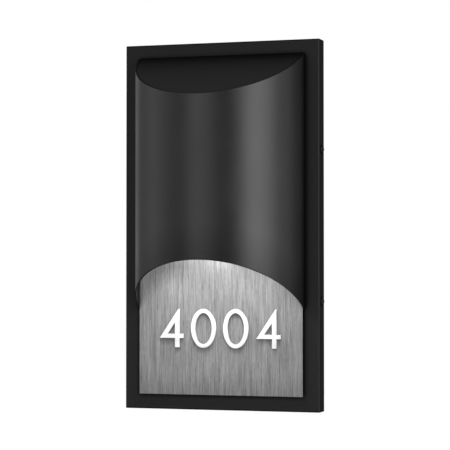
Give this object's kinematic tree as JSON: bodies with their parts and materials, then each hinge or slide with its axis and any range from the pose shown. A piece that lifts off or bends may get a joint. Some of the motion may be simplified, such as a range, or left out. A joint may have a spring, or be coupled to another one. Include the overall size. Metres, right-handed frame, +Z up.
{
  "type": "illuminated house number sign",
  "caption": "Wall sign with a shallow black pan, a half-round hood over a screw-base lamp, and a brushed plate with white numbers lit from above.",
  "frame": {"origin": "middle of the face that lies on the wall, which is the back of the gasket", "axes": "+X to the right as seen from the street, +Y into the wall, +Z up; the sign's front faces -Y"},
  "size_m": [0.2014, 0.0903, 0.356],
  "materials": {
    "pan_black": "satin powder coat, fine texture",
    "hood_black": "satin powder coat",
    "rivet_black": "painted over with the hood",
    "plate_brushed": "brushed upright, clear anodised",
    "foam_black": "closed-cell foam",
    "digit_white": "white enamel",
    "bracket_zinc": "zinc plated",
    "screw_black": "black oxide",
    "fastener_zinc": "zinc plated",
    "ground_green": "green dyed zinc",
    "bushing_black": "moulded nylon",
    "porcelain_white": "glazed",
    "shell_nickel": "nickel plated",
    "contact_brass": "bright",
    "lamp_base_bright": "rolled",
    "lamp_solder": "solder",
    "lamp_insulator": "black glass",
    "lamp_white": "moulded",
    "globe_frosted": "frosted, lit from inside",
    "grommet_black": "matt",
    "block_white": "moulded",
    "ring_tinned": "tinned",
    "lead_black": "insulation",
    "lead_white": "insulation",
    "lead_green": "insulation"
  },
  "bodies": {
    "wall_side": {"wall_gasket": "foam_black", "wall_bracket": "bracket_zinc", "supply_bushing": "bushing_black", "ground_screw": "ground_green"},
    "left_top_screw": {"side_screw_left_top": "screw_black"},
    "left_bottom_screw": {"side_screw_left_bottom": "screw_black"},
    "right_top_screw": {"side_screw_right_top": "screw_black"},
    "right_bottom_screw": {"side_screw_right_bottom": "screw_black"},
    "housing": {"housing_pan": "pan_black", "shade_shell": "hood_black", "shade_cap": "hood_black", "shade_rivets": "rivet_black", "number_plate": "plate_brushed", "plate_pad": "foam_black", "digit_4_left": "digit_white", "digit_0_left": "digit_white", "digit_0_right": "digit_white", "digit_4_right": "digit_white", "lamp_bracket": "bracket_zinc", "lamp_bracket_screws": "fastener_zinc", "lamp_bracket_nuts": "fastener_zinc", "terminal_block_screws": "fastener_zinc", "socket_nipple": "fastener_zinc", "nipple_locknut": "fastener_zinc", "pan_ground_screw": "ground_green", "socket_body": "porcelain_white", "socket_shell": "shell_nickel", "socket_contact": "contact_brass", "terminal_screws": "contact_brass", "wire_grommet": "grommet_black", "terminal_block": "block_white", "ground_ring_terminal": "ring_tinned", "lead_hot": "lead_black", "lead_neutral": "lead_white", "lead_ground": "lead_green"},
    "lamp": {"lamp_contact": "lamp_solder", "lamp_base_insulator": "lamp_insulator", "lamp_base_shell": "lamp_base_bright", "lamp_body": "lamp_white", "lamp_globe": "globe_frosted"}
  },
  "joints": [
    {"name": "left_top_screw_out", "type": "slide", "parent": "wall_side", "child": "left_top_screw", "axis": [-1, 0, 0], "range_m": [0, 0.012]},
    {"name": "left_bottom_screw_out", "type": "slide", "parent": "wall_side", "child": "left_bottom_screw", "axis": [-1, 0, 0], "range_m": [0, 0.012]},
    {"name": "right_top_screw_out", "type": "slide", "parent": "wall_side", "child": "right_top_screw", "axis": [1, 0, 0], "range_m": [0, 0.012]},
    {"name": "right_bottom_screw_out", "type": "slide", "parent": "wall_side", "child": "right_bottom_screw", "axis": [1, 0, 0], "range_m": [0, 0.012]},
    {"name": "housing_lift_off", "type": "slide", "parent": "wall_side", "child": "housing", "axis": [0, -1, 0], "range_m": [0, 0.06]},
    {"name": "lamp_removal", "type": "slide", "parent": "housing", "child": "lamp", "axis": [0, 0, -1], "range_m": [0, 0.17]}
  ]
}
